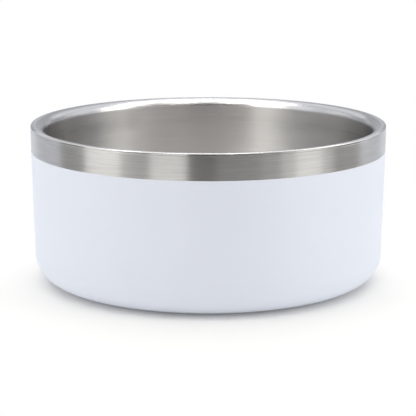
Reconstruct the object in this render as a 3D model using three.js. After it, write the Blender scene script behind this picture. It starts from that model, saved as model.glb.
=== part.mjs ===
// Double-wall stainless pet bowl with a bare brushed inside and rim, a white powder-coated outside
// and a non-slip ring foot.
// Millimetres, +Z up. The origin is on the floor, on the bowl's axis of symmetry.
import * as THREE from 'three';

// Overall size
const RIM_DIAMETER = 165;           // outside, just under the rounded edge of the lip
const OVERALL_HEIGHT = 73.5;        // floor to the top of the lip
const WALL_TAPER = 1.3;             // degrees that both walls lean outwards

// Drawn sheets and the evacuated gap between them
const SHELL_SHEET = 0.7;
const BOWL_SHEET = 0.7;
const WALL_GAP = 4.8;               // between the two walls
const SHELL_CORNER_RADIUS = 12.5;   // outside the shell, from wall to base
const BOWL_CORNER_RADIUS = 14;      // inside the bowl, from wall to floor

// Lip
const LIP_ROUND_RADIUS = 4.6;       // from the lip's flat top down to the bend
const BEND_RADIUS = 3.6;            // from the lip's round down into the bowl's wall
const BEND_LEAN = 40;               // degrees that the sheet leans outwards where round and bend meet
const LIP_EDGE_RADIUS = 0.4;        // outside edge, broken when the weld is ground
const WELD_MARGIN = 0.3;            // how far the weld reaches past the thicker of its two sheets

// White coat
const BAND_HEIGHT = 11.7;           // bare steel left below the top of the lip
const COAT_THICKNESS = 0.12;
const COAT_CLEARANCE = 0.02;        // to the steel under it

// Base of the shell
const FOOT_HEIGHT = 0.8;            // coat's lowest face above the floor
const BEAD_WIDTH = 1.5;             // flat between the round corner and the recess
const BASE_RECESS = 2.2;            // depth of the pressed recess for the ring and the cover

// Non-slip ring
const RING_WIDTH = 8;
const RING_EDGE_RADIUS = 0.6;
const RING_CLEARANCE = 0.25;        // to the recess wall outside it and the cover inside it

// Base cover and its adhesive
const COVER_SHEET = 0.5;
const COVER_BEND = 0.4;             // inside radius of the turned-down edge
const COVER_FLANGE = 1.4;           // height of the turned-down edge
const ADHESIVE_THICKNESS = 0.3;
const ADHESIVE_MARGIN = 2;          // to the port dimple inside it and the cover's bend outside it

// Pumping port and its seal
const PORT_DIAMETER = 1.6;
const DIMPLE_DIAMETER = 9;
const DIMPLE_DEPTH = 1.4;
const SEAL_DROP = 0.3;              // seal set back from the mouth of the dimple

// Getter in the gap
const GETTER_DIAMETER = 10;
const GETTER_THICKNESS = 2.4;
const GETTER_CHAMFER = 0.4;
const GETTER_HEADROOM = 2.1;        // free gap between the clip and the bowl's floor
const CLIP_SHEET = 0.3;
const CLIP_WIDTH = 5;
const CLIP_FOOT = 4;                // length of each welded foot
const CLIP_CLEARANCE = 0.2;         // between the clip and the pill

// Facets
const TURN_SEGMENTS = 64;           // round the bowl
const PILL_SEGMENTS = 24;
const CORNER_STEPS = 5;             // along a large round corner
const LIP_STEPS = 4;
const BEND_STEPS = 3;
const EDGE_STEPS = 3;               // along a small rounded edge

// Heights and radii that follow from the sizes above
const rimRadius = RIM_DIAMETER / 2;
const taperAngle = THREE.MathUtils.degToRad(WALL_TAPER);
const weldLeg = Math.max(SHELL_SHEET, BOWL_SHEET) + WELD_MARGIN;
const shellTop = OVERALL_HEIGHT - weldLeg;
const coatDepth = COAT_THICKNESS + COAT_CLEARANCE;
const shellBase = FOOT_HEIGHT + coatDepth;
const recessFace = shellBase + BASE_RECESS;
const shellFloor = recessFace + SHELL_SHEET;
const clipTop = GETTER_THICKNESS + CLIP_CLEARANCE + CLIP_SHEET;
const bowlUnderside = shellFloor + clipTop + GETTER_HEADROOM;
const bowlFloor = bowlUnderside + BOWL_SHEET;
const bowlDepth = SHELL_SHEET + WALL_GAP + BOWL_SHEET;
const weldInside = rimRadius - weldLeg;
const coatTop = OVERALL_HEIGHT - BAND_HEIGHT;
const shellCorner = cornerCentre(0, shellBase, SHELL_CORNER_RADIUS);
const bowlCorner = cornerCentre(bowlDepth, bowlFloor, BOWL_CORNER_RADIUS);
const recessRadius = shellCorner.x - BEAD_WIDTH;
const ringOutside = recessRadius - RING_CLEARANCE;
const ringInside = ringOutside - RING_WIDTH;
const coverRadius = ringInside - RING_CLEARANCE;
const coverTop = recessFace - ADHESIVE_THICKNESS;
const coverBendOutside = COVER_BEND + COVER_SHEET;
const dimpleRadius = DIMPLE_DIAMETER / 2;
const portRadius = PORT_DIAMETER / 2;

// Radius of a wall at a height, at a depth in from the shell's bare outside face
function wallRadius(z, depth) {
  return rimRadius - (shellTop - z) * Math.tan(taperAngle) - depth / Math.cos(taperAngle);
}

// Centre of the round corner between a wall at a depth and a floor, both touched by the radius
function cornerCentre(depth, floor, radius) {
  return point(wallRadius(floor + radius, depth + radius), floor + radius);
}

function point(radius, z) {
  return new THREE.Vector2(radius, z);
}

// Round stretch of a profile, between angles in degrees: 0 points outwards and 90 points up
function arc(centre, radius, from, to, steps) {
  const points = [];
  for (let step = 0; step <= steps; step += 1) {
    const angle = THREE.MathUtils.degToRad(from + ((to - from) * step) / steps);
    points.push(point(centre.x + radius * Math.cos(angle), centre.y + radius * Math.sin(angle)));
  }
  return points;
}

// Solid of revolution about Z. The profile runs outwards at the bottom and upwards on the outside.
function turned(profile, segments = TURN_SEGMENTS) {
  const geometry = new THREE.LatheGeometry(profile, segments);
  geometry.rotateX(Math.PI / 2);
  return geometry;
}

// Ring of revolution, whose profile closes on itself
function turnedRing(profile) {
  return turned([...profile, profile[0].clone()]);
}

// The wall turns out in a bend, and the bend runs on into the round of the lip
function innerBowl() {
  const lean = THREE.MathUtils.degToRad(BEND_LEAN);
  const spread = BEND_RADIUS - LIP_ROUND_RADIUS;
  const lipHeight = OVERALL_HEIGHT - LIP_ROUND_RADIUS;
  const bendHeight = lipHeight - spread * Math.sin(lean);
  const bend = point(wallRadius(bendHeight, bowlDepth - BEND_RADIUS), bendHeight);
  const lip = point(bend.x - spread * Math.cos(lean), lipHeight);
  const wallSide = 180 - WALL_TAPER;
  const bendSide = 180 - BEND_LEAN;
  return turned([
    point(0, bowlUnderside),
    ...arc(bowlCorner, BOWL_CORNER_RADIUS + BOWL_SHEET, -90, -WALL_TAPER, CORNER_STEPS),
    ...arc(bend, BEND_RADIUS - BOWL_SHEET, wallSide, bendSide, BEND_STEPS),
    ...arc(lip, LIP_ROUND_RADIUS - BOWL_SHEET, bendSide, 90, LIP_STEPS).slice(1),
    point(weldInside, OVERALL_HEIGHT - BOWL_SHEET),
    point(weldInside, OVERALL_HEIGHT),
    ...arc(lip, LIP_ROUND_RADIUS, 90, bendSide, LIP_STEPS),
    ...arc(bend, BEND_RADIUS, bendSide, wallSide, BEND_STEPS).slice(1),
    ...arc(bowlCorner, BOWL_CORNER_RADIUS, -WALL_TAPER, -90, CORNER_STEPS),
    point(0, bowlFloor),
  ]);
}

function outerShell() {
  return turnedRing([
    point(portRadius, recessFace + DIMPLE_DEPTH),
    point(dimpleRadius, recessFace),
    point(recessRadius, recessFace),
    point(recessRadius, shellBase),
    ...arc(shellCorner, SHELL_CORNER_RADIUS, -90, -WALL_TAPER, CORNER_STEPS),
    point(rimRadius, shellTop),
    point(wallRadius(shellTop, SHELL_SHEET), shellTop),
    ...arc(shellCorner, SHELL_CORNER_RADIUS - SHELL_SHEET, -WALL_TAPER, -90, CORNER_STEPS),
    point(recessRadius + SHELL_SHEET, shellBase + SHELL_SHEET),
    point(recessRadius + SHELL_SHEET, shellFloor),
    point(dimpleRadius, shellFloor),
    point(portRadius, shellFloor + DIMPLE_DEPTH),
  ]);
}

// The coat lies on the shell from the bare band down to the mouth of the base recess
function powderCoat() {
  return turnedRing([
    point(recessRadius, FOOT_HEIGHT),
    ...arc(shellCorner, SHELL_CORNER_RADIUS + coatDepth, -90, -WALL_TAPER, CORNER_STEPS),
    point(wallRadius(coatTop, -coatDepth), coatTop),
    point(wallRadius(coatTop, -COAT_CLEARANCE), coatTop),
    ...arc(shellCorner, SHELL_CORNER_RADIUS + COAT_CLEARANCE, -WALL_TAPER, -90, CORNER_STEPS),
    point(recessRadius, FOOT_HEIGHT + COAT_THICKNESS),
  ]);
}

// The weld joins the edge of the bowl's lip to the top edge of the shell, and is ground flush
function rimWeld() {
  const edge = point(rimRadius - LIP_EDGE_RADIUS, OVERALL_HEIGHT - LIP_EDGE_RADIUS);
  return turnedRing([
    point(wallRadius(shellTop, SHELL_SHEET), shellTop),
    point(rimRadius, shellTop),
    ...arc(edge, LIP_EDGE_RADIUS, 0, 90, EDGE_STEPS),
    point(weldInside, OVERALL_HEIGHT),
    point(weldInside, OVERALL_HEIGHT - BOWL_SHEET),
  ]);
}

function nonslipRing() {
  return turnedRing([
    ...arc(point(ringInside + RING_EDGE_RADIUS, RING_EDGE_RADIUS), RING_EDGE_RADIUS, 180, 270, EDGE_STEPS),
    ...arc(point(ringOutside - RING_EDGE_RADIUS, RING_EDGE_RADIUS), RING_EDGE_RADIUS, 270, 360, EDGE_STEPS),
    point(ringOutside, recessFace),
    point(ringInside, recessFace),
  ]);
}

// Shallow pan, open downwards, whose turned-down edge keeps the ring in its channel
function baseCover() {
  const bend = point(coverRadius - coverBendOutside, coverTop - coverBendOutside);
  return turned([
    point(0, coverTop - COVER_SHEET),
    ...arc(bend, COVER_BEND, 90, 0, EDGE_STEPS),
    point(coverRadius - COVER_SHEET, coverTop - COVER_FLANGE),
    point(coverRadius, coverTop - COVER_FLANGE),
    ...arc(bend, coverBendOutside, 0, 90, EDGE_STEPS),
    point(0, coverTop),
  ]);
}

function coverAdhesive() {
  const inside = dimpleRadius + ADHESIVE_MARGIN;
  const outside = coverRadius - coverBendOutside - ADHESIVE_MARGIN;
  return turnedRing([
    point(inside, coverTop),
    point(outside, coverTop),
    point(outside, recessFace),
    point(inside, recessFace),
  ]);
}

// Solder bead that fills the dimple and the port
function vacuumSeal() {
  const filledShare = SEAL_DROP / DIMPLE_DEPTH;
  const mouthRadius = THREE.MathUtils.lerp(dimpleRadius, portRadius, filledShare);
  return turned([
    point(0, recessFace + SEAL_DROP),
    point(mouthRadius, recessFace + SEAL_DROP),
    point(portRadius, recessFace + DIMPLE_DEPTH),
    point(portRadius, shellFloor + DIMPLE_DEPTH),
    point(0, shellFloor + DIMPLE_DEPTH),
  ]);
}

function getterPill() {
  const radius = GETTER_DIAMETER / 2;
  return turned([
    point(0, 0),
    point(radius - GETTER_CHAMFER, 0),
    point(radius, GETTER_CHAMFER),
    point(radius, GETTER_THICKNESS - GETTER_CHAMFER),
    point(radius - GETTER_CHAMFER, GETTER_THICKNESS),
    point(0, GETTER_THICKNESS),
  ], PILL_SEGMENTS);
}

// Hat-shaped strap over the pill, with a foot on each side
function getterClip() {
  const inside = GETTER_DIAMETER / 2 + CLIP_CLEARANCE;
  const outside = inside + CLIP_SHEET;
  const footEnd = outside + CLIP_FOOT;
  const strap = new THREE.Shape([
    point(-footEnd, 0),
    point(-inside, 0),
    point(-inside, clipTop - CLIP_SHEET),
    point(inside, clipTop - CLIP_SHEET),
    point(inside, 0),
    point(footEnd, 0),
    point(footEnd, CLIP_SHEET),
    point(outside, CLIP_SHEET),
    point(outside, clipTop),
    point(-outside, clipTop),
    point(-outside, CLIP_SHEET),
    point(-footEnd, CLIP_SHEET),
  ]);
  const geometry = new THREE.ExtrudeGeometry(strap, { depth: CLIP_WIDTH, bevelEnabled: false });
  geometry.translate(0, 0, -CLIP_WIDTH / 2);
  geometry.rotateX(Math.PI / 2);
  return geometry;
}

function brushedSteel() {
  return new THREE.MeshStandardMaterial({ color: '#c3c1bd', roughness: 0.34, metalness: 1 });
}

function whiteCoat() {
  return new THREE.MeshStandardMaterial({ color: '#e3e8f0', roughness: 0.5, metalness: 0 });
}

function darkRubber() {
  return new THREE.MeshStandardMaterial({ color: '#2c2d2f', roughness: 0.85, metalness: 0 });
}

function clearAdhesive() {
  return new THREE.MeshStandardMaterial({ color: '#d9d3bf', roughness: 0.7, metalness: 0 });
}

function solderGlass() {
  return new THREE.MeshStandardMaterial({ color: '#4d5552', roughness: 0.3, metalness: 0 });
}

function sinteredMetal() {
  return new THREE.MeshStandardMaterial({ color: '#6f6e6c', roughness: 0.8, metalness: 1 });
}

function subPart(name, geometry, material) {
  const mesh = new THREE.Mesh(geometry, material);
  mesh.name = name;
  return mesh;
}

// The getter sits on the shell's floor, half way between the port and the recess wall
function getter() {
  const assembly = new THREE.Group();
  assembly.position.set((dimpleRadius + recessRadius) / 2, 0, shellFloor);
  assembly.add(subPart('getter_pill', getterPill(), sinteredMetal()));
  assembly.add(subPart('getter_clip', getterClip(), brushedSteel()));
  return assembly;
}

const petBowl = new THREE.Group();
petBowl.add(subPart('inner_bowl', innerBowl(), brushedSteel()));
petBowl.add(subPart('outer_shell', outerShell(), brushedSteel()));
petBowl.add(subPart('powder_coat', powderCoat(), whiteCoat()));
petBowl.add(subPart('rim_weld', rimWeld(), brushedSteel()));
petBowl.add(subPart('nonslip_ring', nonslipRing(), darkRubber()));
petBowl.add(subPart('base_cover', baseCover(), brushedSteel()));
petBowl.add(subPart('cover_adhesive', coverAdhesive(), clearAdhesive()));
petBowl.add(subPart('vacuum_seal', vacuumSeal(), solderGlass()));
petBowl.add(getter());

export default petBowl;
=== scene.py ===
import math

import bmesh
import bpy
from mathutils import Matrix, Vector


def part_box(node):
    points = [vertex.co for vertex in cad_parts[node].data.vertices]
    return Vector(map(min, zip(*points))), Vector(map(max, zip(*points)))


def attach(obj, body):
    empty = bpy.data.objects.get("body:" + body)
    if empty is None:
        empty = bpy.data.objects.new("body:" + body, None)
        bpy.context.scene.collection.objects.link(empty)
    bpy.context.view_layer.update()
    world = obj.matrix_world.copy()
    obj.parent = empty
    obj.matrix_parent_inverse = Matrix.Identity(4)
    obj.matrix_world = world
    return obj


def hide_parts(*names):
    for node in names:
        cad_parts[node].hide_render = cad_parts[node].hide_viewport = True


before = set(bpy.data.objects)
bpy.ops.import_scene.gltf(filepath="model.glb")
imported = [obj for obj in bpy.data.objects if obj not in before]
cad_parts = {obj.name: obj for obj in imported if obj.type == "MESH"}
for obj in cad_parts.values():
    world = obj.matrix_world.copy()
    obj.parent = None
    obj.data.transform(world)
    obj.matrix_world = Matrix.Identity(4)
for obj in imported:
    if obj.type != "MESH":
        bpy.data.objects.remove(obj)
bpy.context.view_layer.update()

MM = 0.001

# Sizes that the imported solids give
bowl_low, bowl_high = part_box("inner_bowl")
shell_low, shell_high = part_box("outer_shell")
coat_low, coat_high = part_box("powder_coat")
ring_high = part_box("nonslip_ring")[1]
pan_low, pan_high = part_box("base_cover")
rim_radius = shell_high.x
lip_top = bowl_high.z
lip_edge = bowl_high.x
bowl_underside = bowl_low.z
shell_top = shell_high.z
shell_base = shell_low.z
coat_top = coat_high.z
coat_base = coat_low.z
ring_outside = ring_high.x
recess_face = ring_high.z
pan_radius = pan_high.x
pan_top = pan_high.z
pan_edge = pan_low.z

# Sheet, gap and round sizes, as in the part's source
WALL_TAPER = math.radians(1.3)
SHEET = 0.7 * MM
WALL_GAP = 4.8 * MM
SHELL_CORNER = 12.5 * MM
BOWL_CORNER = 14.0 * MM
LIP_ROUND = 4.6 * MM
BEND_ROUND = 3.6 * MM
BEND_LEAN = math.radians(40.0)
LIP_EDGE_ROUND = 0.4 * MM
COAT_CLEARANCE = 0.02 * MM
COAT_DEPTH = 0.14 * MM
BEAD_WIDTH = 1.5 * MM
RING_WIDTH = 8.0 * MM
PAN_SHEET = 0.5 * MM
PAN_BEND = 0.4 * MM
DIMPLE_RADIUS = 4.5 * MM
DIMPLE_DEPTH = 1.4 * MM
PORT_RADIUS = 0.8 * MM

# Finer sizes that only the looks have
TURN_STEPS = 256
CORNER_STEPS = 20
LIP_STEPS = 14
EDGE_STEPS = 8
FINE_STEPS = 4
SEAM_ROUND = 0.12 * MM
LIP_SEAM_ROUND = 0.16 * MM
COAT_EDGE_ROUND = 0.11 * MM
RECESS_ROUND = 0.45 * MM
RING_FOOT_ROUND = 0.6 * MM
RING_TOP_ROUND = 0.5 * MM
GROOVE_COUNT = 4
GROOVE_WIDTH = 0.7 * MM
GROOVE_DEPTH = 0.3 * MM
GROOVE_ROUND = 0.15 * MM
PAN_EDGE_ROUND = 0.2 * MM
DIMPLE_ROUND = 0.5 * MM
SMOOTH_ANGLE = math.radians(35.0)
MERGE_DISTANCE = 0.001 * MM
ROUND_PROFILE = 0.5
FLAT_WALL_WEIGHT = 100

bowl_floor = bowl_underside + SHEET
bowl_depth = SHEET + WALL_GAP + SHEET
gap_depth = SHEET + WALL_GAP
corner_height = shell_base + SHELL_CORNER


def wall_radius(height, depth):
    """Radius of a leaning wall at a height, a depth in from the shell's bare outside."""
    lean = (shell_top - height) * math.tan(WALL_TAPER)
    return rim_radius - lean - depth / math.cos(WALL_TAPER)


recess_radius = wall_radius(corner_height, SHELL_CORNER) - BEAD_WIDTH


def lip_corners(skin):
    """Corners of the lip, a skin in from the bowl's inside: wall to bend, and bend to flat top."""
    lean_across = math.sin(BEND_LEAN)
    lean_up = math.cos(BEND_LEAN)
    spread = BEND_ROUND - LIP_ROUND
    bend_height = lip_top - LIP_ROUND - spread * lean_across
    bend_radius = wall_radius(bend_height, bowl_depth - BEND_ROUND)
    touch_radius = bend_radius - (BEND_ROUND - skin) * lean_up
    touch_height = bend_height + (BEND_ROUND - skin) * lean_across
    inwards = touch_radius - wall_radius(touch_height, bowl_depth - skin)
    down = inwards / (lean_across - lean_up * math.tan(WALL_TAPER))
    up = (lip_top - skin - touch_height) / lean_up
    wall_corner = (touch_radius - down * lean_across, touch_height - down * lean_up)
    top_corner = (touch_radius + up * lean_across, lip_top - skin)
    return (
        wall_corner + (BEND_ROUND - skin, LIP_STEPS),
        top_corner + (LIP_ROUND - skin, LIP_STEPS),
    )


# Turned pieces: a half section is drawn, its corners are rounded, and it is turned about the axis

def start_section(name):
    """One vertex at the origin, ready to be drawn out into a half section."""
    bpy.ops.object.select_all(action="DESELECT")
    bpy.ops.mesh.primitive_plane_add(size=MM)
    piece = bpy.context.object
    piece.name = name
    piece.data.name = name
    bpy.ops.object.mode_set(mode="EDIT")
    bpy.ops.mesh.select_mode(type="VERT")
    bpy.ops.mesh.select_all(action="SELECT")
    bpy.ops.mesh.merge(type="CENTER")
    return piece


def draw_section(corners, closed):
    """Draws the selected vertex from corner to corner: radius along X, height along Z."""
    radius, height = corners[0][:2]
    bpy.ops.transform.translate(value=(radius, 0.0, height))
    for corner in corners[1:]:
        step = (corner[0] - radius, 0.0, corner[1] - height)
        bpy.ops.mesh.extrude_vertices_move(TRANSFORM_OT_translate={"value": step})
        radius, height = corner[:2]
    if closed:
        select_corners([corners[0], corners[-1]])
        bpy.ops.mesh.edge_face_add()


def corner_vertex(section, corner):
    """The section's vertex that stands at a corner."""
    return min(
        section.verts,
        key=lambda vertex: math.hypot(vertex.co.x - corner[0], vertex.co.z - corner[1]),
    )


def select_corners(corners):
    """Selects the vertices at these corners. Returns the angle between the last one's edges."""
    bpy.ops.mesh.select_all(action="DESELECT")
    section = bmesh.from_edit_mesh(bpy.context.object.data)
    opening = math.pi
    for corner in corners:
        vertex = corner_vertex(section, corner)
        vertex.select = True
        along = [edge.other_vert(vertex).co - vertex.co for edge in vertex.link_edges]
        if len(along) == 2:
            opening = along[0].angle(along[1])
    section.select_flush_mode()
    bmesh.update_edit_mesh(bpy.context.object.data)
    return opening


def round_corner(corner):
    """Rounds one corner of the section to the radius and steps that it names."""
    round_radius, steps = corner[2:]
    opening = select_corners([corner])
    bpy.ops.mesh.bevel(
        offset=round_radius / math.tan(opening / 2),
        offset_type="OFFSET",
        segments=steps,
        profile=ROUND_PROFILE,
        affect="VERTICES",
        clamp_overlap=False,
    )


def turn_section(angle=math.tau, steps=TURN_STEPS):
    """Turns the section about the bowl's axis, joins its seam and points its faces outwards."""
    bpy.ops.mesh.select_all(action="SELECT")
    bpy.ops.mesh.spin(steps=steps, angle=angle, center=(0.0, 0.0, 0.0), axis=(0.0, 0.0, 1.0))
    bpy.ops.mesh.select_all(action="SELECT")
    bpy.ops.mesh.remove_doubles(threshold=MERGE_DISTANCE)
    bpy.ops.mesh.normals_make_consistent(inside=False)
    bpy.ops.object.mode_set(mode="OBJECT")


def smooth_finish(piece):
    """Smooth shading that keeps the long walls flat in section."""
    bpy.ops.object.shade_smooth_by_angle(angle=SMOOTH_ANGLE)
    bpy.ops.object.modifier_add(type="WEIGHTED_NORMAL")
    weighted = piece.modifiers[-1]
    weighted.keep_sharp = True
    weighted.weight = FLAT_WALL_WEIGHT
    bpy.ops.object.modifier_apply(modifier=weighted.name)


def turned_piece(name, corners, closed):
    """A piece turned from a half section. A corner is radius, height, round radius and steps."""
    piece = start_section(name)
    draw_section(corners, closed)
    for corner in corners:
        if len(corner) == 4:
            round_corner(corner)
    turn_section()
    smooth_finish(piece)
    return piece


# Inner bowl

def brushed_bowl():
    """Drawn bowl with its round floor corner and the lip that turns out to the weld."""
    gap_bend, gap_lip = lip_corners(SHEET)
    bend, lip = lip_corners(0.0)
    return turned_piece("brushed_bowl", [
        (0.0, bowl_underside),
        (wall_radius(bowl_underside, gap_depth), bowl_underside, BOWL_CORNER + SHEET, CORNER_STEPS),
        gap_bend,
        gap_lip,
        (lip_edge, lip_top - SHEET),
        (lip_edge, lip_top, LIP_SEAM_ROUND, FINE_STEPS),
        lip,
        bend,
        (wall_radius(bowl_floor, bowl_depth), bowl_floor, BOWL_CORNER, CORNER_STEPS),
        (0.0, bowl_floor),
    ], closed=False)


# Outer shell

def steel_shell():
    """Drawn shell: bare at the top, round at the base, with a recess and port dimple under it."""
    inside_base = shell_base + SHEET
    return turned_piece("steel_shell", [
        (PORT_RADIUS, recess_face + DIMPLE_DEPTH),
        (DIMPLE_RADIUS, recess_face, DIMPLE_ROUND, FINE_STEPS),
        (recess_radius, recess_face, RECESS_ROUND, FINE_STEPS),
        (recess_radius, shell_base, RECESS_ROUND, FINE_STEPS),
        (wall_radius(shell_base, 0.0), shell_base, SHELL_CORNER, CORNER_STEPS),
        (rim_radius, shell_top, SEAM_ROUND, FINE_STEPS),
        (wall_radius(shell_top, SHEET), shell_top),
        (wall_radius(inside_base, SHEET), inside_base, SHELL_CORNER - SHEET, CORNER_STEPS),
        (recess_radius + SHEET, inside_base, RECESS_ROUND, FINE_STEPS),
        (recess_radius + SHEET, recess_face + SHEET, RECESS_ROUND, FINE_STEPS),
        (DIMPLE_RADIUS, recess_face + SHEET, DIMPLE_ROUND, FINE_STEPS),
        (PORT_RADIUS, recess_face + SHEET + DIMPLE_DEPTH),
    ], closed=True)


# White coat

def white_coat():
    """Coat on the shell from the bare band to the recess, with a soft top edge."""
    under_base = coat_base + COAT_DEPTH - COAT_CLEARANCE
    under_corner = SHELL_CORNER + COAT_CLEARANCE
    return turned_piece("white_coat", [
        (recess_radius, coat_base),
        (wall_radius(coat_base, -COAT_DEPTH), coat_base, SHELL_CORNER + COAT_DEPTH, CORNER_STEPS),
        (wall_radius(coat_top, -COAT_DEPTH), coat_top, COAT_EDGE_ROUND, FINE_STEPS),
        (wall_radius(coat_top, -COAT_CLEARANCE), coat_top),
        (wall_radius(under_base, -COAT_CLEARANCE), under_base, under_corner, CORNER_STEPS),
        (recess_radius, under_base),
    ], closed=True)


# Ground weld at the rim

def ground_weld():
    """Weld between lip and shell, ground round outside, with the fine seam under it."""
    return turned_piece("ground_weld", [
        (wall_radius(shell_top, SHEET), shell_top),
        (rim_radius, shell_top, SEAM_ROUND, FINE_STEPS),
        (rim_radius, lip_top, LIP_EDGE_ROUND, EDGE_STEPS),
        (lip_edge, lip_top, LIP_SEAM_ROUND, FINE_STEPS),
        (lip_edge, lip_top - SHEET),
    ], closed=True)


# Grip ring

def grip_ring():
    """Moulded ring foot with round edges and shallow grip grooves in its standing face."""
    ring_inside = ring_outside - RING_WIDTH
    corners = [(ring_inside, 0.0, RING_FOOT_ROUND, EDGE_STEPS)]
    pitch = RING_WIDTH / (GROOVE_COUNT + 1)
    half = GROOVE_WIDTH / 2
    for number in range(1, GROOVE_COUNT + 1):
        middle = ring_inside + number * pitch
        corners += [
            (middle - half, 0.0, GROOVE_ROUND, FINE_STEPS),
            (middle - half / 2, GROOVE_DEPTH, GROOVE_ROUND, FINE_STEPS),
            (middle + half / 2, GROOVE_DEPTH, GROOVE_ROUND, FINE_STEPS),
            (middle + half, 0.0, GROOVE_ROUND, FINE_STEPS),
        ]
    corners += [
        (ring_outside, 0.0, RING_FOOT_ROUND, EDGE_STEPS),
        (ring_outside, recess_face, RING_TOP_ROUND, FINE_STEPS),
        (ring_inside, recess_face, RING_TOP_ROUND, FINE_STEPS),
    ]
    return turned_piece("grip_ring", corners, closed=True)


# Base pan

def base_pan():
    """Thin pan under the base, with its edge turned down towards the ring."""
    under = pan_top - PAN_SHEET
    return turned_piece("base_pan", [
        (0.0, under),
        (pan_radius - PAN_SHEET, under, PAN_BEND, EDGE_STEPS),
        (pan_radius - PAN_SHEET, pan_edge, PAN_EDGE_ROUND, FINE_STEPS),
        (pan_radius, pan_edge, PAN_EDGE_ROUND, FINE_STEPS),
        (pan_radius, pan_top, PAN_BEND + PAN_SHEET, EDGE_STEPS),
        (0.0, pan_top),
    ], closed=False)


# Materials

STEEL_COLOUR = (0.573, 0.561, 0.543, 1.0)
STEEL_SHADE = (0.518, 0.507, 0.49, 1.0)
BAND_COLOUR = (0.627, 0.614, 0.594, 1.0)
BAND_SHADE = (0.464, 0.454, 0.439, 1.0)
COAT_COLOUR = (0.787, 0.822, 0.909, 1.0)
COAT_SHADE = (0.775, 0.81, 0.897, 1.0)
RUBBER_COLOUR = (0.025, 0.026, 0.028, 1.0)
RUBBER_SHADE = (0.018, 0.019, 0.02, 1.0)
ADHESIVE_COLOUR = (0.7, 0.66, 0.52, 1.0)
ADHESIVE_SHADE = (0.63, 0.59, 0.46, 1.0)
GLASS_COLOUR = (0.08, 0.09, 0.085, 1.0)
GLASS_SHADE = (0.062, 0.07, 0.066, 1.0)
SINTER_COLOUR = (0.16, 0.155, 0.15, 1.0)
SINTER_SHADE = (0.11, 0.107, 0.104, 1.0)
CLIP_COLOUR = (0.55, 0.545, 0.53, 1.0)
CLIP_SHADE = (0.49, 0.485, 0.472, 1.0)
STEEL_GRAZING = (0.9, 0.9, 0.9, 1.0)
BRUSH_ANISOTROPY = 0.9
ACROSS_BRUSH = 0.25
BRUSH_SLOPE = 0.25
BRUSH_LENGTH = 22.0 * MM
BAND_BRUSH_LENGTH = 7.0 * MM
FINE_LINE_PITCH = 0.16 * MM
BROAD_LINE_PITCH = 0.75 * MM
BROAD_LINE_STRETCH = 3.0
BROAD_LINE_SHARE = 0.55
LINE_SHADES = (-0.6, 1.6)
LINE_ROUGHNESS = (0.88, 1.12)
PEEL_SIZE = 0.8 * MM
PEEL_DEPTH = 0.004 * MM
CLOUD_SIZE = 14.0 * MM
COAT_ROUGHNESS = (0.46, 0.56)


def new_material(name):
    """A material with its Principled shader, and the shader's nodes and links."""
    material = bpy.data.materials.new(name)
    material.use_nodes = True
    nodes = material.node_tree.nodes
    links = material.node_tree.links
    return material, nodes, links, nodes["Principled BSDF"]


def plain_material(name):
    """A material with nothing but its output, and its nodes and links."""
    material, nodes, links, _ = new_material(name)
    nodes.clear()
    return material, nodes, links, nodes.new("ShaderNodeOutputMaterial")


def noise(nodes, links, vector, detail, roughness):
    """A noise texture on a vector that is already scaled."""
    texture = nodes.new("ShaderNodeTexNoise")
    texture.inputs["Scale"].default_value = 1.0
    texture.inputs["Detail"].default_value = detail
    texture.inputs["Roughness"].default_value = roughness
    links.new(vector, texture.inputs["Vector"])
    return texture.outputs["Fac"]


def brush_vector(nodes, links):
    """Object coordinates with the way along the section as height, so that brush lines run round."""
    place = nodes.new("ShaderNodeTexCoord")
    flat = nodes.new("ShaderNodeVectorMath")
    flat.operation = "MULTIPLY"
    flat.inputs[1].default_value = (1.0, 1.0, 0.0)
    links.new(place.outputs["Object"], flat.inputs[0])
    radius = nodes.new("ShaderNodeVectorMath")
    radius.operation = "LENGTH"
    links.new(flat.outputs["Vector"], radius.inputs[0])
    parts = nodes.new("ShaderNodeSeparateXYZ")
    links.new(place.outputs["Object"], parts.inputs["Vector"])
    along = nodes.new("ShaderNodeMath")
    along.operation = "ADD"
    links.new(parts.outputs["Z"], along.inputs[0])
    links.new(radius.outputs["Value"], along.inputs[1])
    vector = nodes.new("ShaderNodeCombineXYZ")
    links.new(parts.outputs["X"], vector.inputs["X"])
    links.new(parts.outputs["Y"], vector.inputs["Y"])
    links.new(along.outputs["Value"], vector.inputs["Z"])
    return vector.outputs["Vector"]


def stretched(nodes, links, vector, length, pitch):
    """Scales the brush vector to lines of a length round the bowl and a pitch across them."""
    mapping = nodes.new("ShaderNodeMapping")
    mapping.inputs["Scale"].default_value = (1.0 / length, 1.0 / length, 1.0 / pitch)
    links.new(vector, mapping.inputs["Vector"])
    return mapping.outputs["Vector"]


def sized(nodes, links, sizes):
    """Object coordinates scaled to a grain of a size along each axis."""
    place = nodes.new("ShaderNodeTexCoord")
    mapping = nodes.new("ShaderNodeMapping")
    mapping.inputs["Scale"].default_value = [1.0 / size for size in sizes]
    links.new(place.outputs["Object"], mapping.inputs["Vector"])
    return mapping.outputs["Vector"]


def ranged(nodes, links, value, low, high):
    """Maps a 0 to 1 value to a range."""
    mapped = nodes.new("ShaderNodeMapRange")
    mapped.inputs["To Min"].default_value = low
    mapped.inputs["To Max"].default_value = high
    links.new(value, mapped.inputs["Value"])
    return mapped.outputs["Result"]


def blended(nodes, links, first, second, share):
    """Colour between two colours by a share."""
    mix = nodes.new("ShaderNodeMix")
    mix.data_type = "RGBA"
    mix.inputs["A"].default_value = first
    mix.inputs["B"].default_value = second
    links.new(share, mix.inputs["Factor"])
    return mix.outputs["Result"]


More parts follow.
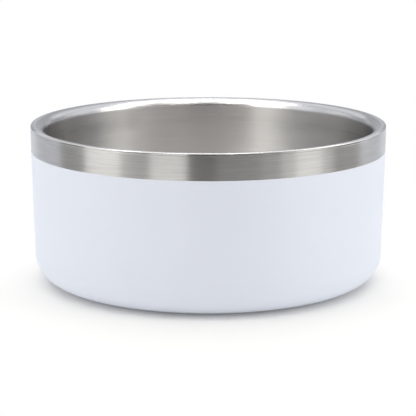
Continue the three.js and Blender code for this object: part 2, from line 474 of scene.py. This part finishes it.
def averaged(nodes, links, first, second, share):
    """Value between two values by a fixed share."""
    mix = nodes.new("ShaderNodeMix")
    mix.data_type = "FLOAT"
    mix.inputs["Factor"].default_value = share
    links.new(first, mix.inputs["A"])
    links.new(second, mix.inputs["B"])
    return mix.outputs["Result"]


def bumped(nodes, links, shader, height, depth):
    """Feeds a bump of a depth in metres to the shader."""
    bump = nodes.new("ShaderNodeBump")
    bump.inputs["Distance"].default_value = depth
    bump.inputs["Strength"].default_value = 1.0
    links.new(height, bump.inputs["Height"])
    links.new(bump.outputs["Normal"], shader.inputs["Normal"])


def finish_by_height(nodes, links, stops):
    """Roughness that follows the height: pairs of height and roughness, from the lowest up."""
    place = nodes.new("ShaderNodeTexCoord")
    parts = nodes.new("ShaderNodeSeparateXYZ")
    links.new(place.outputs["Object"], parts.inputs["Vector"])
    share = nodes.new("ShaderNodeMapRange")
    share.inputs["From Max"].default_value = lip_top
    links.new(parts.outputs["Z"], share.inputs["Value"])
    ramp = nodes.new("ShaderNodeValToRGB")
    ramp.color_ramp.interpolation = "EASE"
    marks = ramp.color_ramp.elements
    marks.remove(marks[-1])
    for number, (height, roughness) in enumerate(stops):
        mark = marks.new(height / lip_top) if number else marks[0]
        mark.position = height / lip_top
        mark.color = (roughness, roughness, roughness, 1.0)
    links.new(share.outputs["Result"], ramp.inputs["Fac"])
    return ramp.outputs["Color"]


def brush_direction(nodes, links, lines):
    """Direction round the axis, with each brush line a little off level."""
    tangent = nodes.new("ShaderNodeTangent")
    tangent.direction_type = "RADIAL"
    tangent.axis = "Z"
    slope = nodes.new("ShaderNodeCombineXYZ")
    links.new(ranged(nodes, links, lines, -BRUSH_SLOPE, BRUSH_SLOPE), slope.inputs["Z"])
    leaning = nodes.new("ShaderNodeVectorMath")
    leaning.operation = "ADD"
    links.new(tangent.outputs["Tangent"], leaning.inputs[0])
    links.new(slope.outputs["Vector"], leaning.inputs[1])
    return leaning.outputs["Vector"]


def steel(name, stops, line_length, line_depth, colours):
    """Bare stainless steel, brushed round the axis so that its highlights draw out up and down."""
    material, nodes, links, shader = new_material(name)
    shader.inputs["Metallic"].default_value = 1.0
    shader.inputs["Anisotropic"].default_value = BRUSH_ANISOTROPY
    shader.inputs["Anisotropic Rotation"].default_value = ACROSS_BRUSH
    shader.inputs["Specular Tint"].default_value = STEEL_GRAZING
    vector = brush_vector(nodes, links)
    fine_scale = stretched(nodes, links, vector, line_length, FINE_LINE_PITCH)
    fine = noise(nodes, links, fine_scale, detail=2.0, roughness=0.5)
    broad_length = BROAD_LINE_STRETCH * line_length
    broad_scale = stretched(nodes, links, vector, broad_length, BROAD_LINE_PITCH)
    broad = noise(nodes, links, broad_scale, detail=2.0, roughness=0.6)
    lines = averaged(nodes, links, fine, broad, BROAD_LINE_SHARE)
    links.new(brush_direction(nodes, links, lines), shader.inputs["Tangent"])
    shade = ranged(nodes, links, lines, *LINE_SHADES)
    links.new(blended(nodes, links, *colours, shade), shader.inputs["Base Color"])
    roughness = nodes.new("ShaderNodeMath")
    roughness.operation = "MULTIPLY"
    links.new(finish_by_height(nodes, links, stops), roughness.inputs[0])
    links.new(ranged(nodes, links, lines, *LINE_ROUGHNESS), roughness.inputs[1])
    links.new(roughness.outputs["Value"], shader.inputs["Roughness"])
    bumped(nodes, links, shader, fine, line_depth)
    return material


def satin_coat(name):
    """Cool white powder coat: satin, with a fine orange peel."""
    material, nodes, links, shader = new_material(name)
    peel = noise(nodes, links, sized(nodes, links, (PEEL_SIZE,) * 3), detail=2.0, roughness=0.5)
    cloud = noise(nodes, links, sized(nodes, links, (CLOUD_SIZE,) * 3), detail=3.0, roughness=0.55)
    links.new(blended(nodes, links, COAT_COLOUR, COAT_SHADE, cloud), shader.inputs["Base Color"])
    links.new(ranged(nodes, links, peel, *COAT_ROUGHNESS), shader.inputs["Roughness"])
    bumped(nodes, links, shader, peel, PEEL_DEPTH)
    return material


def grained(name, colour, shade, grain, roughness, depth, metallic):
    """An even surface with a fine grain in its colour, its roughness and its relief."""
    material, nodes, links, shader = new_material(name)
    shader.inputs["Metallic"].default_value = metallic
    speckle = noise(nodes, links, sized(nodes, links, grain), detail=3.0, roughness=0.6)
    links.new(blended(nodes, links, colour, shade, speckle), shader.inputs["Base Color"])
    links.new(ranged(nodes, links, speckle, *roughness), shader.inputs["Roughness"])
    bumped(nodes, links, shader, speckle, depth)
    return material


# Finishes of the pieces

bowl_finish = steel(
    "brushed_bowl_steel",
    stops=(
        (bowl_floor, 0.6),
        (bowl_floor + 18.0 * MM, 0.55),
        (bowl_floor + 32.0 * MM, 0.48),
        (bowl_floor + 46.0 * MM, 0.35),
        (lip_top - 10.0 * MM, 0.28),
        (lip_top - 4.5 * MM, 0.29),
        (lip_top - 2.0 * MM, 0.25),
        (lip_top - 0.1 * MM, 0.2),
    ),
    line_length=BRUSH_LENGTH,
    line_depth=0.0002 * MM,
    colours=(STEEL_COLOUR, STEEL_SHADE),
)
band_finish = steel(
    "brushed_band_steel",
    stops=((shell_base, 0.31), (shell_top, 0.31)),
    line_length=BAND_BRUSH_LENGTH,
    line_depth=0.00015 * MM,
    colours=(BAND_COLOUR, BAND_SHADE),
)
weld_finish = steel(
    "ground_weld_steel",
    stops=((shell_top, 0.25), (lip_top, 0.22)),
    line_length=BRUSH_LENGTH,
    line_depth=0.0001 * MM,
    colours=(STEEL_COLOUR, STEEL_SHADE),
)
pan_finish = steel(
    "brushed_pan_steel",
    stops=((pan_edge, 0.36), (pan_top, 0.36)),
    line_length=BRUSH_LENGTH,
    line_depth=0.0004 * MM,
    colours=(STEEL_COLOUR, STEEL_SHADE),
)
coat_finish = satin_coat("satin_white_coat")
rubber_finish = grained(
    "moulded_rubber",
    RUBBER_COLOUR,
    RUBBER_SHADE,
    grain=(0.25 * MM,) * 3,
    roughness=(0.7, 0.92),
    depth=0.02 * MM,
    metallic=0.0,
)
adhesive_finish = grained(
    "set_adhesive",
    ADHESIVE_COLOUR,
    ADHESIVE_SHADE,
    grain=(0.6 * MM,) * 3,
    roughness=(0.6, 0.75),
    depth=0.01 * MM,
    metallic=0.0,
)
glass_finish = grained(
    "solder_glass",
    GLASS_COLOUR,
    GLASS_SHADE,
    grain=(1.2 * MM,) * 3,
    roughness=(0.18, 0.3),
    depth=0.002 * MM,
    metallic=0.0,
)
sinter_finish = grained(
    "sintered_pill",
    SINTER_COLOUR,
    SINTER_SHADE,
    grain=(0.12 * MM,) * 3,
    roughness=(0.65, 0.85),
    depth=0.01 * MM,
    metallic=1.0,
)
clip_finish = grained(
    "rolled_clip_steel",
    CLIP_COLOUR,
    CLIP_SHADE,
    grain=(8.0 * MM, 0.2 * MM, 8.0 * MM),
    roughness=(0.3, 0.42),
    depth=0.0005 * MM,
    metallic=1.0,
)

# Pieces, each on the body and in the place of its solid

for piece, node, slot, finish in (
    (brushed_bowl(), "inner_bowl", "bowl_steel", bowl_finish),
    (steel_shell(), "outer_shell", "shell_steel", band_finish),
    (white_coat(), "powder_coat", "white_coat", coat_finish),
    (ground_weld(), "rim_weld", "weld_steel", weld_finish),
    (grip_ring(), "nonslip_ring", "ring_rubber", rubber_finish),
    (base_pan(), "base_cover", "cover_steel", pan_finish),
):
    piece.data.materials.clear()
    piece.data.materials.append(finish)
    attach(piece, "root")
    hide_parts(node)

# Hidden pieces keep their solids

for node, finish in (
    ("cover_adhesive", adhesive_finish),
    ("vacuum_seal", glass_finish),
    ("getter_pill", sinter_finish),
    ("getter_clip", clip_finish),
):
    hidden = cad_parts[node]
    hidden.data.materials.clear()
    hidden.data.materials.append(finish)


# Camera at the photograph's place

CAMERA_PLACE = (-0.00013, -0.8144, 0.2051)
CAMERA_PITCH = math.radians(11.94)
CAMERA_LENS = 153.13
CAMERA_SENSOR = 36.0
CAMERA_NEAR = 0.01
CAMERA_FAR = 50.0

bpy.ops.object.select_all(action="DESELECT")
bpy.ops.object.camera_add(
    location=CAMERA_PLACE,
    rotation=(math.pi / 2 - CAMERA_PITCH, 0.0, 0.0),
)
camera = bpy.context.object
camera.data.lens = CAMERA_LENS
camera.data.sensor_width = CAMERA_SENSOR
camera.data.clip_start = CAMERA_NEAR
camera.data.clip_end = CAMERA_FAR
bpy.context.scene.camera = camera


# Floor

FLOOR_SIZE = 12.0
FLOOR_COLOUR = (0.94, 0.93, 0.905, 1.0)
FLOOR_GLOW = 0.03
FLOOR_LIFT = 0.1
FADE_START = 0.088
FADE_END = 0.17

bpy.ops.object.select_all(action="DESELECT")
bpy.ops.mesh.primitive_plane_add(size=FLOOR_SIZE)
floor = bpy.context.object
floor.name = "white_floor"


def seen_directly(nodes, links):
    """1 where the camera sees, straight, mirrored or through glass, and 0 for light on a surface."""
    path = nodes.new("ShaderNodeLightPath")
    first = nodes.new("ShaderNodeMath")
    first.operation = "MAXIMUM"
    links.new(path.outputs["Is Camera Ray"], first.inputs[0])
    links.new(path.outputs["Is Glossy Ray"], first.inputs[1])
    second = nodes.new("ShaderNodeMath")
    second.operation = "MAXIMUM"
    links.new(first.outputs["Value"], second.inputs[0])
    links.new(path.outputs["Is Transmission Ray"], second.inputs[1])
    return second.outputs["Value"]


def floor_finish():
    """White floor that takes the bowl's shadow near it and is plain white further out."""
    material, nodes, links, output = plain_material("white_floor")
    paper = nodes.new("ShaderNodeBsdfDiffuse")
    paper.inputs["Color"].default_value = FLOOR_COLOUR
    glow = nodes.new("ShaderNodeEmission")
    near = nodes.new("ShaderNodeAddShader")
    links.new(paper.outputs["BSDF"], near.inputs[0])
    links.new(glow.outputs["Emission"], near.inputs[1])
    strength = ranged(nodes, links, seen_directly(nodes, links), FLOOR_LIFT, FLOOR_GLOW)
    links.new(strength, glow.inputs["Strength"])
    white = nodes.new("ShaderNodeEmission")
    white.inputs["Strength"].default_value = 1.0
    place = nodes.new("ShaderNodeTexCoord")
    distance = nodes.new("ShaderNodeVectorMath")
    distance.operation = "LENGTH"
    links.new(place.outputs["Object"], distance.inputs[0])
    fade = nodes.new("ShaderNodeMapRange")
    fade.interpolation_type = "SMOOTHSTEP"
    fade.inputs["From Min"].default_value = FADE_START
    fade.inputs["From Max"].default_value = FADE_END
    links.new(distance.outputs["Value"], fade.inputs["Value"])
    far_share = nodes.new("ShaderNodeMath")
    far_share.operation = "MULTIPLY"
    links.new(fade.outputs["Result"], far_share.inputs[0])
    links.new(seen_directly(nodes, links), far_share.inputs[1])
    both = nodes.new("ShaderNodeMixShader")
    links.new(far_share.outputs["Value"], both.inputs["Fac"])
    links.new(near.outputs["Shader"], both.inputs[1])
    links.new(white.outputs["Emission"], both.inputs[2])
    links.new(both.outputs["Shader"], output.inputs["Surface"])
    return material


floor.data.materials.append(floor_finish())


# World and lamps

WORLD_ON_SURFACES = 0.45
WORLD_SEEN = 1.0
OVERHEAD_PLACE = (0.0, 0.215, 0.69)
OVERHEAD_SIZE = (1.3, 1.37)
OVERHEAD_POWER = 6.9
SIDE_ACROSS = 0.9
SIDE_ALONG = -0.25
SIDE_HEIGHT = 0.3
SIDE_TILT = math.radians(80.0)
SIDE_TURN = math.radians(15.5)
SIDE_SIZE = (0.5, 0.6)
LEFT_POWER = 1.3
RIGHT_POWER = 1.6
PLAIN = (1.0, 1.0, 1.0, 1.0)

world = bpy.data.worlds.new("white_studio")
bpy.context.scene.world = world
world.use_nodes = True
world_nodes = world.node_tree.nodes
world_links = world.node_tree.links
background = world_nodes["Background"]
background.inputs["Color"].default_value = PLAIN
world_is_seen = seen_directly(world_nodes, world_links)
world_strength = ranged(world_nodes, world_links, world_is_seen, WORLD_ON_SURFACES, WORLD_SEEN)
world_links.new(world_strength, background.inputs["Strength"])


def softbox(name, place, turn, size, power):
    """A rectangular soft lamp that lights surfaces and is not seen in reflections."""
    bpy.ops.object.select_all(action="DESELECT")
    bpy.ops.object.light_add(type="AREA", location=place, rotation=turn)
    lamp = bpy.context.object
    lamp.name = name
    lamp.data.shape = "RECTANGLE"
    lamp.data.size = size[0]
    lamp.data.size_y = size[1]
    lamp.data.energy = power
    lamp.visible_camera = False
    lamp.visible_glossy = False


softbox("overhead_softbox", OVERHEAD_PLACE, (0.0, 0.0, 0.0), OVERHEAD_SIZE, OVERHEAD_POWER)
for name, side, power in (
    ("left_softbox", -1.0, LEFT_POWER),
    ("right_softbox", 1.0, RIGHT_POWER),
):
    side_place = (side * SIDE_ACROSS, SIDE_ALONG, SIDE_HEIGHT)
    side_turn = (0.0, side * SIDE_TILT, -side * SIDE_TURN)
    softbox(name, side_place, side_turn, SIDE_SIZE, power)


# Cards round the bowl, seen only in its reflections

CARD_RADIUS = 0.18
CARD_STEPS = 24
COOL = (0.938, 0.965, 1.045, 1.0)

# Heights between which a card stands
LOW_TIER = (0.001, 0.09)
GAP_TIER = (0.09, 0.112)
ABOVE_GAP_TIER = (0.112, 0.20)
MID_TIER = (0.09, 0.20)
HIGH_TIER = (0.20, 0.36)
BACK_LOW_TIER = (0.001, 0.14)
BACK_SIDE_TIER = (0.14, 0.20)
BACK_HIGH_TIER = (0.14, 0.36)

# Places of the ceiling's cards across and along the view
CEILING_HEIGHT = 0.361
FRONT_STRIP = -0.10
FRONT_GAP = 0.045
BACK_STRIP = 0.09


def light_up(piece, name, brightness, colour):
    """Makes a card glow, in reflections only."""
    material, nodes, links, output = plain_material(name)
    glow = nodes.new("ShaderNodeEmission")
    glow.inputs["Color"].default_value = colour
    glow.inputs["Strength"].default_value = brightness
    links.new(glow.outputs["Emission"], output.inputs["Surface"])
    piece.data.materials.clear()
    piece.data.materials.append(material)
    piece.visible_camera = False
    piece.visible_diffuse = False
    piece.visible_shadow = False


def card(name, left, right, tier, brightness, colour):
    """A card bent round the bowl between two azimuths in degrees, 0 in front and + to the right."""
    low, high = tier
    start = math.radians(right)
    foot = (CARD_RADIUS * math.sin(start), -CARD_RADIUS * math.cos(start), low)
    piece = start_section(name)
    bpy.ops.transform.translate(value=foot)
    bpy.ops.mesh.extrude_vertices_move(TRANSFORM_OT_translate={"value": (0.0, 0.0, high - low)})
    turn_section(math.radians(right - left), CARD_STEPS)
    light_up(piece, name, brightness, colour)


def ceiling_card(name, left, right, front, back, brightness):
    """A level card over the bowl, between two places across the view and two along it."""
    middle = ((left + right) / 2, (front + back) / 2, CEILING_HEIGHT)
    bpy.ops.object.select_all(action="DESELECT")
    bpy.ops.mesh.primitive_plane_add(size=1.0, location=middle)
    piece = bpy.context.object
    piece.name = name
    piece.scale = (right - left, back - front, 1.0)
    bpy.ops.object.transform_apply(location=True, rotation=True, scale=True)
    light_up(piece, name, brightness, PLAIN)


for name, left, right, tier, brightness, colour in (
    ("low_front_dark", -10.0, 4.0, LOW_TIER, 0.12, PLAIN),
    ("low_front_grey", 4.0, 26.0, LOW_TIER, 0.28, PLAIN),
    ("low_front_right", 26.0, 36.0, LOW_TIER, 0.45, PLAIN),
    ("low_right_rise", 36.0, 44.0, LOW_TIER, 0.85, PLAIN),
    ("low_right_white", 44.0, 60.0, LOW_TIER, 1.36, PLAIN),
    ("low_right_fall", 60.0, 68.0, LOW_TIER, 0.8, PLAIN),
    ("low_right_dark", 68.0, 90.0, LOW_TIER, 0.31, PLAIN),
    ("low_right_grey", 90.0, 118.0, LOW_TIER, 0.85, COOL),
    ("low_right_far", 118.0, 150.0, LOW_TIER, 1.02, COOL),
    ("low_left_far", -150.0, -118.0, LOW_TIER, 1.04, COOL),
    ("low_left_grey", -118.0, -86.0, LOW_TIER, 0.81, COOL),
    ("low_left_dark", -86.0, -66.0, LOW_TIER, 0.32, PLAIN),
    ("low_left_white", -66.0, -44.0, LOW_TIER, 1.24, PLAIN),
    ("low_left_dip", -44.0, -28.5, LOW_TIER, 0.49, PLAIN),
    ("low_left_strip", -28.5, -10.0, LOW_TIER, 1.19, PLAIN),
    ("mid_front", -38.0, 20.0, MID_TIER, 0.1, PLAIN),
    ("mid_front_right", 20.0, 74.0, MID_TIER, 0.4, PLAIN),
    ("mid_right_white", 74.0, 103.0, MID_TIER, 2.3, PLAIN),
    ("mid_right", 103.0, 122.0, MID_TIER, 1.0, COOL),
    ("mid_right_far", 122.0, 150.0, ABOVE_GAP_TIER, 1.3, COOL),
    ("gap_right", 122.0, 145.0, GAP_TIER, 0.05, COOL),
    ("gap_right_end", 145.0, 150.0, GAP_TIER, 0.8, COOL),
    ("gap_left_end", -150.0, -145.0, GAP_TIER, 0.8, COOL),
    ("gap_left", -145.0, -118.0, GAP_TIER, 0.05, COOL),
    ("mid_left_far", -150.0, -118.0, ABOVE_GAP_TIER, 1.25, COOL),
    ("mid_left_grey", -118.0, -100.0, MID_TIER, 0.95, COOL),
    ("mid_left", -100.0, -74.0, MID_TIER, 1.25, COOL),
    ("mid_left_white", -74.0, -38.0, MID_TIER, 1.75, PLAIN),
    ("high_front", -26.0, 26.0, HIGH_TIER, 0.1, PLAIN),
    ("high_front_right", 26.0, 60.0, HIGH_TIER, 0.55, PLAIN),
    ("high_right_rise", 60.0, 82.0, HIGH_TIER, 1.9, PLAIN),
    ("high_right_white", 82.0, 106.0, HIGH_TIER, 7.0, PLAIN),
    ("high_right_fall", 106.0, 114.0, HIGH_TIER, 3.2, PLAIN),
    ("high_right_grey", 114.0, 130.0, HIGH_TIER, 1.6, COOL),
    ("high_right", 130.0, 160.0, HIGH_TIER, 1.1, COOL),
    ("high_left", -160.0, -122.0, HIGH_TIER, 1.0, COOL),
    ("high_left_grey", -122.0, -74.0, HIGH_TIER, 1.3, COOL),
    ("high_left_white", -74.0, -46.5, HIGH_TIER, 7.5, PLAIN),
    ("high_left_fall", -46.5, -26.0, HIGH_TIER, 0.8, PLAIN),
    ("back_low_right", 150.0, 174.0, BACK_LOW_TIER, 0.6, COOL),
    ("back_low", 174.0, 186.0, BACK_LOW_TIER, 0.8, COOL),
    ("back_low_left", -174.0, -150.0, BACK_LOW_TIER, 0.6, COOL),
    ("back_side_right", 150.0, 160.0, BACK_SIDE_TIER, 0.8, COOL),
    ("back_side_left", -160.0, -150.0, BACK_SIDE_TIER, 0.7, COOL),
    ("back_high_right", 160.0, 172.0, BACK_HIGH_TIER, 1.1, COOL),
    ("back_high", 172.0, 188.0, BACK_HIGH_TIER, 1.25, COOL),
    ("back_high_left", -172.0, -160.0, BACK_HIGH_TIER, 0.9, COOL),
):
    card(name, left, right, tier, brightness, colour)

for name, left, right, front, back, brightness in (
    ("ceiling_front_left", -CARD_RADIUS, -FRONT_GAP, -CARD_RADIUS, FRONT_STRIP, 9.5),
    ("ceiling_front_gap", -FRONT_GAP, FRONT_GAP, -CARD_RADIUS, FRONT_STRIP, 3.0),
    ("ceiling_front_right", FRONT_GAP, CARD_RADIUS, -CARD_RADIUS, FRONT_STRIP, 9.0),
    ("ceiling_middle", -CARD_RADIUS, CARD_RADIUS, FRONT_STRIP, BACK_STRIP, 1.3),
    ("ceiling_back", -CARD_RADIUS, CARD_RADIUS, BACK_STRIP, CARD_RADIUS, 8.0),
):
    ceiling_card(name, left, right, front, back, brightness)

bpy.context.scene.view_settings.view_transform = "Standard"
